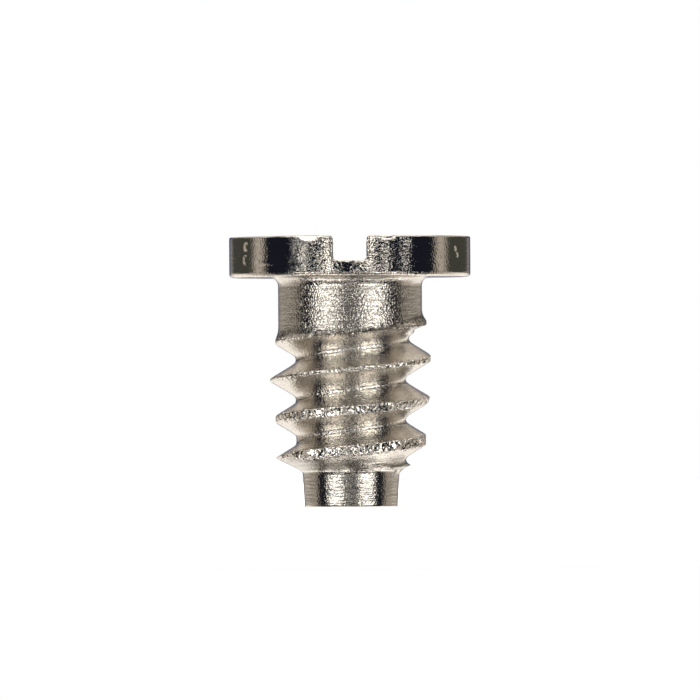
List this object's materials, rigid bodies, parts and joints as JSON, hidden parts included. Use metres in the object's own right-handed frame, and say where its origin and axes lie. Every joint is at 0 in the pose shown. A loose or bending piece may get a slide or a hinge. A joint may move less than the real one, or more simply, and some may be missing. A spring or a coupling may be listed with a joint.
{
  "type": "watch movement screw",
  "caption": "Slotted cheese-head screw with a plain neck, a short coarse rolled thread and a plain flat-ended point.",
  "frame": {"origin": "centre of the flat end of the point, on the screw's axis", "axes": "+Z along the screw's axis, from the point up to the head; +Y along the driver slot; +X across the slot"},
  "size_m": [0.0016, 0.0014, 0.0017],
  "materials": {
    "steel": "polished nickel-plated steel, grainy and bright"
  },
  "bodies": {
    "root": {"screw": "steel"}
  },
  "joints": []
}
